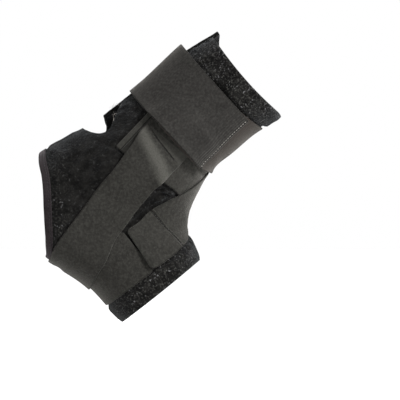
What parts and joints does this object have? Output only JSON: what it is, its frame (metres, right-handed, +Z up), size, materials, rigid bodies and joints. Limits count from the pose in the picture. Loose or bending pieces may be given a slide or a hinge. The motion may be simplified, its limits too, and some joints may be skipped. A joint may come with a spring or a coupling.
{
  "type": "ankle brace",
  "caption": "Padded ankle brace held in its worn shape: open-heel sleeve, stirrup strap, two crossing straps and a wide closing strap.",
  "frame": {"origin": "middle of the ankle joint that the brace is worn on, midway between its two sides", "axes": "+Y from the outer side through to the inner side, +Z up in the pose of the picture, +X towards the front of the leg; the sole side is pitched 39 degrees down at its front"},
  "size_m": [0.1827, 0.0936, 0.218],
  "materials": {
    "sleeve_cloth": "black loop-faced foam cloth, brushed and fuzzy",
    "binding_tape": "dark stretch tape, matt",
    "strap_webbing": "dark grey elastic webbing, fine plain weave",
    "tab_cloth": "dark grey sewn tab, matt",
    "top_elastic": "dark grey ribbed elastic, matt"
  },
  "bodies": {
    "root": {"sleeve": "sleeve_cloth", "heel_binding": "binding_tape", "figure_eight_strap": "strap_webbing", "instep_strap": "strap_webbing", "instep_tab": "tab_cloth", "stirrup_strap": "strap_webbing", "stirrup_tab_outer": "tab_cloth", "stirrup_tab_inner": "tab_cloth", "top_strap": "top_elastic"}
  },
  "joints": []
}
